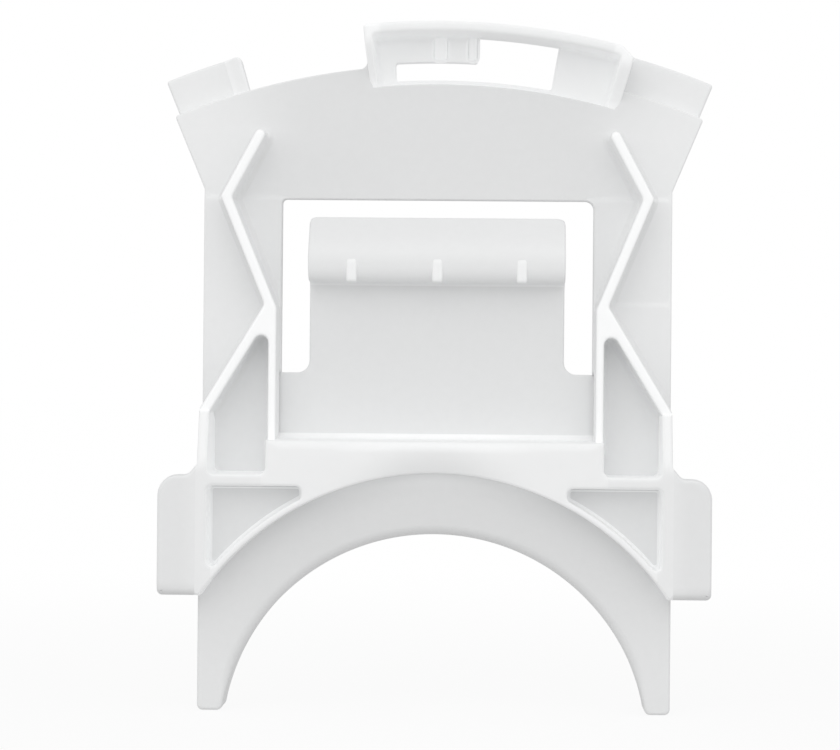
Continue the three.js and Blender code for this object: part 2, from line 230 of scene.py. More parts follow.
def divided(loop, step):
    """Splits long segments, so that a face can follow a change of level along its edge."""
    points = []
    for a, b in zip(loop, loop[1:] + loop[:1]):
        count = max(1, round(math.dist(a, b) / step))
        for i in range(count):
            t = i / count
            points.append((a[0] + (b[0] - a[0]) * t, a[1] + (b[1] - a[1]) * t))
    return points


def grown(loop, amounts):
    """Moves each point outwards along its mitre by its own amount."""
    moved = []
    n = len(loop)
    for i, (x, z) in enumerate(loop):
        px, pz = loop[i - 1]
        qx, qz = loop[(i + 1) % n]
        la = math.hypot(x - px, z - pz)
        lb = math.hypot(qx - x, qz - z)
        ax, az = (z - pz) / la, -(x - px) / la
        bx, bz = (qz - z) / lb, -(qx - x) / lb
        k = amounts[i] / max(0.4, 1 + ax * bx + az * bz)
        moved.append((x + (ax + bx) * k, z + (az + bz) * k))
    return moved


def meet(p, d, q, e):
    """Where the line through p along d crosses the line through q along e."""
    cross = d[0] * e[1] - d[1] * e[0]
    t = ((q[0] - p[0]) * e[1] - (q[1] - p[1]) * e[0]) / cross
    return (p[0] + d[0] * t, p[1] + d[1] * t)


def inside(x, z, loops):
    odd = False
    for loop in loops:
        for (ax, az), (bx, bz) in zip(loop, loop[1:] + loop[:1]):
            if (az > z) != (bz > z) and x < ax + (z - az) * (bx - ax) / (bz - az):
                odd = not odd
    return odd


# ---- Moulded solids ---------------------------------------------------------------------------


def value_at(thing, x, z):
    return thing(x, z) if callable(thing) else thing


def face_triangles(loops, inner):
    """Triangles over an outline with holes and extra inner points, as indices into both."""
    loops = [[tuple(Vector(p)) for p in loop] for loop in loops]
    flat = [p for loop in loops for p in loop]
    edges = []
    start = 0
    for loop in loops:
        n = len(loop)
        edges += [(start + i, start + (i + 1) % n) for i in range(n)]
        start += n
    points = [Vector(p) for p in flat + list(inner)]
    out, _, faces, origin, _, _ = delaunay_2d_cdt(points, edges, [], 0, 0.0)
    first = []
    for o, at in zip(origin, out):
        nearest = min(range(start), key=lambda i: (points[i] - at).length_squared)
        first.append(o[0] if o else nearest)
    kept = []
    for f in faces:
        cx = sum(out[i].x for i in f) / len(f)
        cz = sum(out[i].y for i in f) / len(f)
        if inside(cx, cz, loops):
            kept.append([first[i] for i in f])
    return kept


def clear_points(points, loops, gap):
    """The points inside an outline that keep clear of its own points."""
    corners = [p for loop in loops for p in loop]
    kept = []
    for x, z in points:
        near = any(abs(p[0] - x) < gap and abs(p[1] - z) < gap for p in corners)
        if not near and inside(x, z, loops):
            kept.append((x, z))
    return kept


def grid_points(loops, spacing, window=None):
    """Inner points on a staggered grid."""
    xs = [p[0] for p in loops[0]]
    zs = [p[1] for p in loops[0]]
    x0, x1, z0, z1 = window or (min(xs), max(xs), min(zs), max(zs))
    points = []
    for row in range(int((z1 - z0) / (spacing * 0.8)) + 1):
        offset = spacing / 2 if row % 2 else 0
        for column in range(int((x1 - x0 - offset) / spacing) + 1):
            points.append((x0 + offset + column * spacing, z0 + row * spacing * 0.8))
    return clear_points(points, loops, spacing / 2)


def arc_grid(loops, radii, start, end, spacing):
    """Inner points along arcs about the rim's centre."""
    step = math.degrees(spacing / radii[0])
    points = [p for radius in radii for p in arc(radius, start, end, step=step)]
    return clear_points(points, loops, spacing / 2)


ROUND_STEPS = 4


def prism(loops, base, top, foot=0.0, back_edge=0.0, edge=0.25, lean=0.0, sink=0.0,
          inner=(), inner_back=(), flare=None, place=None):
    """A closed solid between two levels, with a round along its front edge, and either a
    fillet where it stands on another piece or a round along its back edge."""
    loops = [turned(cleaned(loop), i == 0) for i, loop in enumerate(loops)]
    steps = [math.radians(90 * i / ROUND_STEPS) for i in range(ROUND_STEPS + 1)]

    def spread(p):
        return foot if flare is None else foot * flare(*p)

    # A ring is how far it grows outwards, which level it is measured from, and how far from it.
    rings = []
    if foot > 0:
        rings.append((lambda p, r: spread(p), "base", -sink))
        for a in steps:
            rings.append((lambda p, r, a=a: spread(p) * (1 - math.sin(a)), "base",
                          foot * (1 - math.cos(a))))
    elif back_edge:
        for a in steps:
            rings.append((lambda p, r, a=a: -value_at(back_edge, *p) * (1 - math.sin(a)), "round",
                          1 - math.cos(a)))
    else:
        rings.append((lambda p, r: 0.0, "base", -sink))
    for a in steps:
        rings.append((lambda p, r, a=a: -lean - r * (1 - math.cos(a)), "top", 1 - math.sin(a)))
    bm = bmesh.new()
    rows = []
    outlines = []
    for grow, kind, amount in rings:
        ring_rows = []
        ring_loops = []
        for loop in loops:
            radii = [value_at(edge, *p) for p in loop]
            moved = grown(loop, [grow(p, r) for p, r in zip(loop, radii)])
            row = []
            for (x, z), p, r in zip(moved, loop, radii):
                if kind == "base":
                    level = value_at(base, x, z) + amount
                elif kind == "round":
                    level = value_at(base, x, z) + amount * value_at(back_edge, *p)
                else:
                    level = value_at(top, x, z) - amount * r
                row.append(bm.verts.new(place(x, z, level)))
            ring_rows.append(row)
            ring_loops.append(moved)
        rows.append(ring_rows)
        outlines.append(ring_loops)
    for back, front in zip(rows, rows[1:]):
        for a, b in zip(back, front):
            n = len(a)
            for i in range(n):
                j = (i + 1) % n
                bm.faces.new((a[i], a[j], b[j], b[i]))
    for row, outline, points, level, flip in (
        (rows[-1], outlines[-1], inner, top, False),
        (rows[0], outlines[0], inner_back, base, True),
    ):
        verts = [v for ring in row for v in ring]
        extra = -sink if flip and not back_edge else 0.0
        verts += [bm.verts.new(place(x, z, value_at(level, x, z) + extra)) for x, z in points]
        for tri in face_triangles(outline, points):
            if len(set(tri)) == 3:
                bm.faces.new([verts[i] for i in (reversed(tri) if flip else tri)])
    loose = [v for v in bm.verts if not v.link_faces]
    bmesh.ops.delete(bm, geom=loose, context="VERTS")
    bmesh.ops.remove_doubles(bm, verts=bm.verts, dist=1e-7)
    bmesh.ops.dissolve_degenerate(bm, dist=1e-8, edges=bm.edges)
    bmesh.ops.recalc_face_normals(bm, faces=bm.faces)
    return bm


def on_front(x, z, level):
    """A point of an outline seen from the front, at a level in front of the plate."""
    return Vector((x, FRONT_Y - level, z)) * MM


def along_x(level, z, x):
    """A point of a side profile, at a place across the object."""
    return Vector((x, FRONT_Y - level, z)) * MM


def moulded(loops, base, top, **options):
    return prism(loops, base, top, place=on_front, **options)


def kept_side(bm, *planes):
    """A copy of a solid cut by planes written ((x, z), (nx, nz)); the normal's side goes."""
    part = bm.copy()
    for (x, z), (nx, nz) in planes:
        geometry = part.verts[:] + part.edges[:] + part.faces[:]
        cut = bmesh.ops.bisect_plane(
            part,
            geom=geometry,
            dist=1e-7,
            plane_co=Vector((x, 0, z)) * MM,
            plane_no=Vector((nx, 0, nz)),
            clear_outer=True,
        )
        rim = [e for e in cut["geom_cut"] if isinstance(e, bmesh.types.BMEdge) and e.is_boundary]
        if rim:
            bmesh.ops.triangle_fill(part, use_beauty=True, edges=rim, normal=Vector((nx, 0, nz)))
    bmesh.ops.dissolve_degenerate(part, dist=1e-7, edges=part.edges)
    bmesh.ops.recalc_face_normals(part, faces=part.faces)
    return part


def radial_cut(angle, keep):
    """A plane through the rim's centre that keeps the smaller angles (1) or the larger (-1)."""
    a = math.radians(angle)
    return ((0, ARC_Z), (keep * math.cos(a), -keep * math.sin(a)))


def joined(*parts):
    whole = bmesh.new()
    for part in parts:
        holder = bpy.data.meshes.new("part")
        part.to_mesh(holder)
        whole.from_mesh(holder)
        bpy.data.meshes.remove(holder)
    return whole


MATERIALS = {}


def finish_piece(node, bm, look, body="frame"):
    """Makes a node's piece, shades it, gives it its material and puts it on its body."""
    name = f"{node}.v"
    mesh = bpy.data.meshes.new(name)
    bm.to_mesh(mesh)
    bm.free()
    mesh.polygons.foreach_set("use_smooth", [True] * len(mesh.polygons))
    mesh.set_sharp_from_angle(angle=math.radians(38))
    piece = bpy.data.objects.new(name, mesh)
    bpy.context.scene.collection.objects.link(piece)
    weighted = piece.modifiers.new("weighted normals", "WEIGHTED_NORMAL")
    weighted.keep_sharp = True
    weighted.weight = 60
    piece.data.materials.append(MATERIALS[look])
    if body:
        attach(piece, body)
    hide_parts(node)
    return piece


# ---- Cradle: bridge, shelves, belt ribs, side walls and ears --------------------------------
EDGE = 0.45  # the round along the front edge of a rib
THIN_EDGE = 0.33  # and of the thin belt rib
FOOT = 0.8  # the fillet where a rib stands on the plate
POCKET_FOOT = 0.4
SEAM_Z = SHELF_LOW - 0.2  # below this height the cradle stands on the web, above on the plate
POCKET_END = 27.4
POCKET_X = polar(BELT_OUT, POCKET_END)[0] - 0.05
ROLL = 2.5  # how far the bridge's face rolls back towards the belt arc
ROLL_BAND = 4.6
ROLL_ANGLE = 25.0
ROLL_X = 19  # the rolled part of the face lies within this distance from the middle
# The cradle is cut into its pieces at these distances from the middle.
BELT_CUT = 18.7  # the bridge from the belt ribs, below the seam
SHELF_CUT = 23.8  # the bridge from the shelves, above it
WALL_IN_CUT = 30.6  # the belt ribs and shelves from the side walls
WALL_CUT = HALF + 0.02  # the side walls from the ears


def cradle_outline():
    """One outline for the whole cradle, so that its faces run on from piece to piece."""
    foot = math.degrees(math.acos((EAR_LOW - ARC_Z) / BELT_IN))
    side = [
        (EAR_X, EAR_LOW, 0.8),
        (EAR_X, EAR_TOP, 2.8),
        (HALF + 1.2, EAR_TOP, 1.1),
        (HALF - 0.03, EAR_TOP + 1.5),
        (HALF - 0.03, WALL_TOP),
        (WALL_IN, WALL_TOP),
        (WALL_IN, SHELF_TOP, 0.95),
        (BRIDGE_X, SHELF_TOP, 0.95),
        (BRIDGE_X, BRIDGE_TOP),
    ]
    return divided(rounded(arc(BELT_IN, -foot, foot) + side + mirrored(side)), 0.9)


def pocket_outline():
    end = math.degrees(math.asin(WALL_IN / BELT_OUT))
    first = polar(BELT_OUT, POCKET_END)
    last = polar(BELT_OUT, end)
    corners = [(first[0], first[1], 0.72)]
    corners += arc(BELT_OUT, POCKET_END + 2, end - 3.5)
    corners += [(last[0], last[1], 0.7), (WALL_IN, SHELF_LOW, 0.7), (first[0], SHELF_LOW, 0.72)]
    return divided(rounded(corners), 0.9)


def cradle_top(x, z):
    if abs(x) > WALL_IN - 0.8:
        t = (z - SHELF_TOP - 1) / (WALL_TOP - SHELF_TOP - 1)
        return CRADLE - (CRADLE - RIB_FRONT - 0.4) * min(1, max(0, t))
    radius = radius_of(x, z)
    angle = abs(angle_of(x, z))
    across = math.cos(math.radians(90 * min(1, angle / ROLL_ANGLE))) ** 2
    down = 1 - min(1, max(0, (radius - BELT_IN) / ROLL_BAND))
    return CRADLE - ROLL * across * down * down


def cradle_edge(x, z):
    if z > BRIDGE_TOP - 0.05 and abs(x) < BRIDGE_X:
        return EDGE + 0.8 * smooth((BRIDGE_X - 0.2 - abs(x)) / 2)
    if radius_of(x, z) < BELT_OUT + 0.2 and abs(x) < HALF:
        return THIN_EDGE
    if abs(x) > HALF:
        return EDGE + 0.5 * smooth((EAR_LOW + 1.5 - z) / 1.5)
    return EDGE


def cradle_flare(x, z):
    """The upper cradle has a foot fillet all round, apart from its arc, underside and sides."""
    on_arc = radius_of(x, z) < BELT_IN + 0.3
    return 0 if on_arc or z < SHELF_LOW + 0.3 or abs(x) > HALF - 0.1 else 1


def pocket_flare(x, z):
    in_pocket = POCKET_X < abs(x) < WALL_IN + 0.05 and radius_of(x, z) > BELT_OUT - 0.05
    return 1 if in_pocket and z < SHELF_LOW + 0.05 else 0


def build_cradle():
    outline = cradle_outline()
    pockets = [pocket_outline(), mirrored(pocket_outline())]
    loops = [outline] + pockets

    inner = grid_points(loops, 0.8, (-ROLL_X, ROLL_X, SEAM_Z - 4, BRIDGE_TOP))
    inner = [p for p in inner if radius_of(*p) < BELT_IN + ROLL_BAND + 0.4]
    options = dict(edge=cradle_edge, lean=DRAFT, inner=inner)
    on_web = moulded(loops, WEB_FRONT, cradle_top, foot=POCKET_FOOT, flare=pocket_flare, sink=0.4,
                     **options)
    on_plate = moulded(loops, 0.0, cradle_top, foot=FOOT, flare=cradle_flare, **options)
    ear = moulded([outline], EAR_BACK, cradle_top, edge=cradle_edge, lean=DRAFT, back_edge=EDGE)
    below = ((0, SEAM_Z), (0, 1))
    above = ((0, SEAM_Z), (0, -1))

    def between(x0, x1):
        return (((x0, 0), (-1, 0)), ((x1, 0), (1, 0)))

    def span(sign, x0, x1):
        return between(*sorted((sign * x0, sign * x1)))

    middle_low = kept_side(on_web, below, *between(-BELT_CUT, BELT_CUT))
    middle_high = kept_side(on_plate, above, *between(-SHELF_CUT, SHELF_CUT))
    finish_piece("saddle_bridge", joined(middle_low, middle_high), "bridge")
    for side, sign in SIDES:
        belt = kept_side(on_web, below, *span(sign, BELT_CUT, WALL_IN_CUT))
        shelf = kept_side(on_plate, above, *span(sign, SHELF_CUT, WALL_IN_CUT))
        wall_low = kept_side(on_web, below, *span(sign, WALL_IN_CUT, WALL_CUT))
        wall_high = kept_side(on_plate, above, *span(sign, WALL_IN_CUT, WALL_CUT))
        outside = kept_side(ear, *span(sign, WALL_CUT, EAR_X + 1))
        finish_piece(f"belt_rib_{side}", belt, "belt")
        finish_piece(f"shelf_{side}", shelf, "cradle")
        finish_piece(f"side_wall_{side}", joined(wall_low, wall_high), "cradle")
        finish_piece(f"ear_{side}", outside, "ear")


# ---- Web, legs and the walls behind it ------------------------------------------------------
SADDLE_END = math.degrees(math.acos(-SADDLE_Z / SADDLE_R))
TIP = 0.8


def leg_tip():
    inner = polar(SADDLE_R, SADDLE_END, SADDLE_Z)
    above = polar(SADDLE_R, SADDLE_END - 3, SADDLE_Z)
    outer = (HALF, 0)
    return corner(above, inner, outer, TIP) + corner(inner, outer, (HALF, SHELF_LOW), TIP)


def build_web():
    radius = BELT_IN + 0.3
    height = SHELF_LOW + 0.3
    step = math.degrees(math.acos((height - ARC_Z) / radius))
    tip = leg_tip()
    outline = (
        arc(SADDLE_R, 3 - SADDLE_END, SADDLE_END - 3, SADDLE_Z)
        + tip + [(HALF, height)]
        + arc(radius, step, -step)
        + [(-HALF, height)] + mirrored(tip)
    )

    def edge(x, z):
        on_saddle = math.hypot(x, z - SADDLE_Z) < SADDLE_R + 0.2
        if on_saddle:
            return 0.5 + 0.9 * smooth((z - 1) / 6)
        return 0.4 if z < height - 0.3 else 0.05

    web = moulded([divided(outline, 1.2)], WEB_BACK, WEB_FRONT, edge=edge, lean=0.03, sink=0)
    finish_piece("saddle_web", web, "web")


def build_rims():
    """The walls behind the web: one round the saddle and one behind each leg's outer edge."""
    outer_r = SADDLE_R + SADDLE_WALL
    foot_z = 6.0
    foot_angle = math.degrees(math.acos((foot_z - SADDLE_Z) / outer_r))
    foot_point = polar(outer_r, foot_angle, SADDLE_Z)
    leg_top = (WALL_IN, SHELF_LOW)
    leg = leg_tip() + [(HALF, SHELF_LOW), leg_top]
    leg += corner(leg_top, (WALL_IN, foot_z - 0.6), foot_point, 0.5)
    outline = (
        arc(SADDLE_R, 3 - SADDLE_END, SADDLE_END - 3, SADDLE_Z)
        + leg
        + arc(outer_r, foot_angle, -foot_angle, SADDLE_Z)
        + mirrored(leg)
    )
    rims = moulded([outline], BACK, WEB_BACK + 0.2, edge=0.0, lean=0.03, back_edge=0.3)
    cut_x = 30.2
    saddle = kept_side(rims, ((cut_x, 0), (1, 0)), ((-cut_x, 0), (-1, 0)))
    finish_piece("saddle_rim", saddle, "web")
    for side, sign in SIDES:
        leg_rim = kept_side(rims, ((sign * cut_x, 0), (-sign, 0)))
        finish_piece(f"leg_rim_{side}", leg_rim, "web")


# ---- Plate ----------------------------------------------------------------------------------
PLATE_EDGE = 0.25
SPUR = 1.1  # the round between the top rim and the tray's left wall
RISE_Z = 71.0  # the columns stand a little proud of the top panel below this height
RISE = 0.35
SECOND_RISE_Z = 56.4  # and the right column again below this one
SECOND_RISE = 0.3


def plate_top(x, z):
    if abs(x) < WINDOW_X - 1:
        return 0.0
    level = RISE * (1 - smooth((z - RISE_Z) / 0.9))
    if x > 0:
        level += SECOND_RISE * (1 - smooth((z - SECOND_RISE_Z) / 0.8))
    return level


def build_plate():
    step = math.degrees(math.acos((SHELF_LOW - ARC_Z) / BELT_IN))
    left = WALL_L_OUT + 0.3
    right = WALL_R_OUT - 0.4
    outline = rounded(
        [(HALF, SHELF_LOW)]
        + arc(BELT_IN, step, -step)
        + [(-HALF, SHELF_LOW), (-HALF, WAIST, 0.6)]
        + [polar(RIM_R, -WING) + (0.4,)]
        + arc(RIM_R, 1 - WING, WALL_L_OUT - 1.2)
        + [polar(RIM_R, WALL_L_OUT) + (SPUR,), polar(RIM_R + SPUR + 0.1, WALL_L_OUT)]
        + [polar(RIM_R + SPUR + 0.1, left)]
        + arc(TRAY_IN, left, right)
        + arc(RIM_R, right, WING - 1)
        + [polar(RIM_R, WING) + (0.4,)]
        + [(HALF, WAIST, 0.6)]
    )
    window = rounded([
        (-PANEL_X, PANEL_LOW),
        (PANEL_X, PANEL_LOW),
        (PANEL_X, ROOT_Z),
        (WINDOW_X, ROOT_Z),
        (WINDOW_X, WINDOW_TOP, 1.2),
        (-WINDOW_X, WINDOW_TOP, 0.6),
        (-WINDOW_X, ROOT_Z),
        (-PANEL_X, ROOT_Z),
    ])
    loops = [divided(outline, 1.0), divided(window, 1.0)]

    def back_edge(x, z):
        in_panel = abs(x) < PANEL_X + 0.1 and PANEL_LOW - 0.1 < z < ROOT_Z + 0.1
        under_bridge = z < SHELF_LOW + 0.05 or radius_of(x, z) < BELT_IN + 0.1
        return 0.0 if in_panel or under_bridge else PLATE_EDGE

    def front_edge(x, z):
        """Where a side wall stands on the plate's edge, the two run on into one face."""
        return 0.0 if abs(x) > HALF - 0.1 and z < WALL_TOP else back_edge(x, z)

    inner = []
    for x in range(-32, 33):
        if abs(x) > WINDOW_X + 0.9:
            inner += [(x, RISE_Z + 0.15 * i) for i in range(-1, 8)]
        if x > WINDOW_X + 0.9:
            inner += [(x, SECOND_RISE_Z + 0.15 * i) for i in range(-1, 7)]
    inner = [p for p in inner if inside(*p, loops) and abs(p[0]) < HALF - 0.6]
    plate = moulded(loops, BACK, plate_top, edge=front_edge, back_edge=back_edge, inner=inner)
    finish_piece("base_plate", plate, "frame")


# ---- Ribs beside the window -----------------------------------------------------------------
ELBOW = (22.75, 55.6)
KNEE = (29.2, 71.2)
ZIG_END = (24.6, 79.8)
DIAGONAL_TOP = (22.9, 56.45)
DIAGONAL_LOW = (32.5, 40.65)
CROTCH = (23.92, 56.32)  # where the zigzag and the diagonal part


def offset_line(a, b, distance):
    """A point and direction of the line a-b moved sideways, to its left when positive."""
    length = math.dist(a, b)
    d = ((b[0] - a[0]) / length, (b[1] - a[1]) / length)
    return (a[0] - d[1] * distance, a[1] + d[0] * distance), d


def rib_outline():
    """The post, the zigzag above it and the diagonal beside it as one Y-shaped outline."""
    half = RIB_W / 2
    zig_left = offset_line(ELBOW, KNEE, half)
    zig_right = offset_line(ELBOW, KNEE, -half)
    end_left = offset_line(KNEE, ZIG_END, half)
    end_right = offset_line(KNEE, ZIG_END, -half)
    upper = offset_line(DIAGONAL_TOP, DIAGONAL_LOW, half)
    lower = offset_line(DIAGONAL_TOP, DIAGONAL_LOW, -half)
    upright = (0.0, 1.0)
    beyond = ((HALF + 3, 0), upright)
    heading = math.atan2(end_left[1][1], end_left[1][0])
    cap = []
    for i in range(9):
        a = heading - math.pi / 2 + math.pi * i / 8
        cap.append((ZIG_END[0] + half * math.cos(a), ZIG_END[1] + half * math.sin(a)))
    return rounded([
        (POST_IN, BRIDGE_TOP - 1.5),
        (POST_OUT, BRIDGE_TOP - 1.5),
        meet((POST_OUT, 0), upright, *lower) + (0.9,),
        meet(*beyond, *lower),
        meet(*beyond, *upper),
        meet(*upper, *zig_right) + (0.9,),
        meet(*zig_right, *end_right) + (0.7,),
        *cap,
        meet(*end_left, *zig_left) + (0.95,),
        meet((POST_IN, 0), upright, *zig_left),
    ])


def rib_foot(x, z):
    """The plate's surface under the rib on either side."""
    return plate_top(math.copysign(1, x) * max(abs(x), WINDOW_X), z)


def rib_flare(x, _z):
    """The foot fillet dies away beside the window and at the outer edge."""
    return smooth((abs(x) - POST_IN - 0.05) / 1.2) * smooth((HALF - abs(x)) / 1.0)


def build_ribs():
    post_top = ELBOW[1] + 0.7
    for side, sign in SIDES:
        outline = rib_outline() if sign > 0 else mirrored(rib_outline())
        ribs = moulded([divided(outline, 0.8)], rib_foot, RIB_FRONT, foot=FOOT, edge=EDGE, lean=DRAFT,
                       flare=rib_flare)
        ribs = kept_side(ribs, ((sign * (HALF - 0.15), 0), (sign, 0)))
        below_top = ((0, post_top), (0, 1))
        above_top = ((0, post_top), (0, -1))
        beside = (sign * (POST_OUT + 0.6), 0)
        near_post = (beside, (sign, 0))
        off_post = (beside, (-sign, 0))
        # The zigzag and the diagonal are parted at the height of the crotch between them.
        crotch = (sign * CROTCH[0], CROTCH[1])
        above_crotch = (crotch, (0, -1))
        below_crotch = (crotch, (0, 1))
        post = kept_side(ribs, below_top, near_post)
        zigzag = joined(
            kept_side(ribs, above_top, above_crotch),
            kept_side(kept_side(ribs, above_top, below_crotch), near_post),
        )
        diagonal = kept_side(ribs, off_post, below_crotch)
        for kind, bm in (("post_rib", post), ("zigzag_rib", zigzag), ("diagonal_rib", diagonal)):
            finish_piece(f"{kind}_{side}", bm, "rib")


# ---- Tabs and catch tray --------------------------------------------------------------------
WEDGE = 2.2  # the backs of the tabs and the tray thin away over this distance behind the rim
RAMP = 1.35  # degrees over which the left tab's end sweeps up
RAMP_RISE = 1.3


def wedge_base(x, z):
    """The back of the tabs and the tray, which thins away behind the plate's rim."""
    t = min(1, max(0, (RIM_R - 0.2 - radius_of(x, z)) / WEDGE))
    return TRAY_BACK + (BACK + 0.15 - TRAY_BACK) * t


def tab_front(x, z):
    """The left tab's inner end sweeps up towards the plate's level."""
    if radius_of(x, z) < RIM_R - 0.6:
        return BACK + 0.4
    rise = smooth((TAB_START + RAMP - abs(angle_of(x, z))) / RAMP) if x < 0 else 0
    return TAB_FRONT + RAMP_RISE * rise


def build_tabs():
    radii = [RIM_R - gap for gap in (2.0, 1.5, 1.0, 0.7, 0.5, 0.2)]
    radii += [RIM_R + 0.4 * i for i in range(1, 13)]
    for sign in (1, -1):
        # The right tab runs up to the tray's wall, and the left one ends in a round corner.
        start = WALL_R_OUT - 0.2 if sign > 0 else TAB_START
        last = polar(TAB_OUT, start)
        tab = rounded(
            arc(RIM_R - WEDGE, start, TAB_END)
            + [polar(RIM_R + 0.2, TAB_END)]
            + [polar(TAB_OUT, TAB_END) + (0.4,)]
            + arc(TAB_OUT, TAB_END - 1, start + 1)
            + [last if sign > 0 else last + (0.7,)]
            + [polar(RIM_R + 0.2, start)]
        )
        outline = divided(tab if sign > 0 else mirrored(tab), 0.5)
        inner = arc_grid([outline], radii, sign * start, sign * TAB_END, 0.45)
        body = moulded([outline], wedge_base, tab_front, edge=0.3, back_edge=0.25, inner=inner,
                       inner_back=inner)
        if sign > 0:
            finish_piece("rim_tab_right", body, "frame")
            continue
        ramp_foot = -TAB_START - RAMP
        end = kept_side(body, radial_cut(ramp_foot, -1))
        rest = kept_side(body, radial_cut(ramp_foot, 1))
        finish_piece("rim_tab_left", rest, "frame")
        finish_piece("tab_wall_left", end, "tab_end")


def tray_front(x, z):
    """The tray's walls rise gently from the plate's rim to the rail."""
    return RAIL_FRONT * smooth((radius_of(x, z) - TRAY_IN - 0.1) / 6.2) - 0.05


TRAY_FILLET = 0.9


def build_tray():
    chamfer = 1.15
    foot_r = TRAY_IN - 0.4
    frame_line = rounded(
        [polar(foot_r, WALL_L_OUT)]
        + [polar(RAIL_OUT, WALL_L_OUT) + (0.5,)]
        + arc(RAIL_OUT, WALL_L_OUT + 0.8, WALL_R_OUT - chamfer)
        + [polar(RAIL_OUT - 1.2, WALL_R_OUT)]
        + [polar(foot_r, WALL_R_OUT), polar(foot_r, WALL_R_IN)]
        + [polar(RAIL_IN, WALL_R_IN) + (0.5,)]
        + arc(RAIL_IN, WALL_R_IN - 0.8, WALL_L_IN + 0.8)
        + [polar(RAIL_IN, WALL_L_IN) + (0.5,)]
        + [polar(foot_r, WALL_L_IN)]
    )
    whole = moulded([divided(frame_line, 0.6)], wedge_base, tray_front, edge=EDGE, lean=0.04,
                    back_edge=0.2)

    left = WALL_L_IN + 0.6
    right = WALL_R_IN - 0.6
    wall_left = kept_side(whole, radial_cut(left, 1))
    wall_right = kept_side(whole, radial_cut(right, -1))
    rail = kept_side(whole, radial_cut(left, -1), radial_cut(right, 1))
    finish_piece("tray_wall_left", wall_left, "tray_wall")
    finish_piece("tray_wall_right", wall_right, "tray_wall")
    finish_piece("top_rail", rail, "rail")

    inset = 0.3
    floor = rounded(
        arc(TRAY_IN - 1.2, WALL_L_IN - inset, WALL_R_IN + inset)
        + [polar(RAIL_IN + inset, WALL_R_IN + inset)]
        + arc(RAIL_IN + inset, WALL_R_IN - 1, SLOT_R + 1)
        + [polar(RAIL_IN + inset, SLOT_R)]
        + [polar(SLOT_IN, SLOT_R) + (0.4,)]
        + arc(SLOT_IN, SLOT_R - 1, SLOT_L + 1)
        + [polar(SLOT_IN, SLOT_L) + (0.4,), polar(SLOT_MID, SLOT_L) + (0.4,)]
        + arc(SLOT_MID, SLOT_L + 1, SLOT_STEP - 1)
        + [polar(SLOT_MID, SLOT_STEP) + (0.4,)]
        + [polar(RAIL_IN + inset, SLOT_STEP)]
        + arc(RAIL_IN + inset, SLOT_STEP - 1, WALL_L_IN)
        + [polar(RAIL_IN + inset, WALL_L_IN - inset)]
    )

    def floor_back(x, z):
        return wedge_base(x, z) + 0.03

    def floor_top(x, z):
        """The tray's floor sweeps up into the rail and the walls round it."""
        if radius_of(x, z) < TRAY_IN - 0.6:
            return BACK + 0.5
        per_degree = math.radians(radius_of(x, z))
        gap = min(
            RAIL_IN - radius_of(x, z),
            (angle_of(x, z) - WALL_L_IN) * per_degree,
            (WALL_R_IN - angle_of(x, z)) * per_degree,
        )
        t = 1 - min(1, max(0, gap / TRAY_FILLET))
        return TRAY_FLOOR + TRAY_FILLET * (1 - math.sqrt(1 - t * t))

    outline = divided(floor, 0.5)
    radii = [TRAY_IN - 0.9, TRAY_IN - 0.5]
    radii += [TRAY_IN + 0.4 * i for i in range(15)]
    radii += [RAIL_IN + 0.25 * i for i in range(-4, 1)]
    inner = arc_grid([outline], radii, WALL_L_IN - inset, WALL_R_IN + inset, 0.4)
    bm = moulded([outline], floor_back, floor_top, edge=0.2, back_edge=0.2, inner=inner,
                 inner_back=inner)
    finish_piece("tray_floor", bm, "tray")

    for i, (x0, x1) in enumerate(((-0.75, 1.15), (4.05, 5.3))):
        start = ARC_Z + math.sqrt(SLOT_MID ** 2 - x0 ** 2) + 0.3
        end = ARC_Z + math.sqrt(RAIL_IN ** 2 - x1 ** 2) + 0.2
        outline = rounded([(x0, start, 0.5), (x1, start, 0.5), (x1, end, 0.5), (x0, end, 0.5)])
        bm = moulded([divided(outline, 0.6)], TRAY_FLOOR, TRAY_FLOOR + 0.35, foot=0.4, edge=0.32)
        finish_piece(f"floor_rib_{i + 1}", bm, "floor_rib")


# ---- Spring tongue --------------------------------------------------------------------------
LIP_T = 1.4
LIP_NOSE_R = 2.8


def build_tongue():
    x = TONGUE_X - 0.03
    side = [
        (PANEL_X, PANEL_LOW),
        (PANEL_X, ROOT_Z + 0.02),
        (x, ROOT_Z + 0.02, ROOT_FLARE),
        (x, LIP_FOOT + 0.6),
    ]
    outline = divided(rounded(side + mirrored(side)), 0.9)

    def edge(px, pz):
        if pz > LIP_FOOT or abs(px) > PANEL_X - 0.05 or pz < PANEL_LOW + 0.05:
            return 0.0
        return PLATE_EDGE

    def back(_px, pz):
        return BACK + (TONGUE_BACK - BACK) * smooth((pz - ROOT_Z + 1) / 3)

    inner = grid_points([outline], 1.2)
    bm = moulded([outline], back, 0.0, edge=edge, back_edge=edge, inner=inner, inner_back=inner)
    tongue = finish_piece("spring_tongue", bm, "tongue", body=None)
    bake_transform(tongue)


def lip_end_corner(z):
    """How far the lip's sides are rounded off towards its free end."""
    r = 0.9
    over = max(0, z - (LIP_END - r))
    return r - math.sqrt(max(0, r * r - over * over))


def lip_lines():
    """The lip's front and back slopes, each a point and a direction."""
    foot_level = NOSE + LIP_NOSE_R
    end_level = 1.12
    length = math.hypot(foot_level - end_level, LIP_END - LIP_FOOT)
    slope = ((end_level - foot_level) / length, (LIP_END - LIP_FOOT) / length)
    front = ((foot_level, LIP_FOOT), slope)
    back = ((foot_level - LIP_T * slope[1], LIP_FOOT + LIP_T * slope[0]), slope)
    return front, back


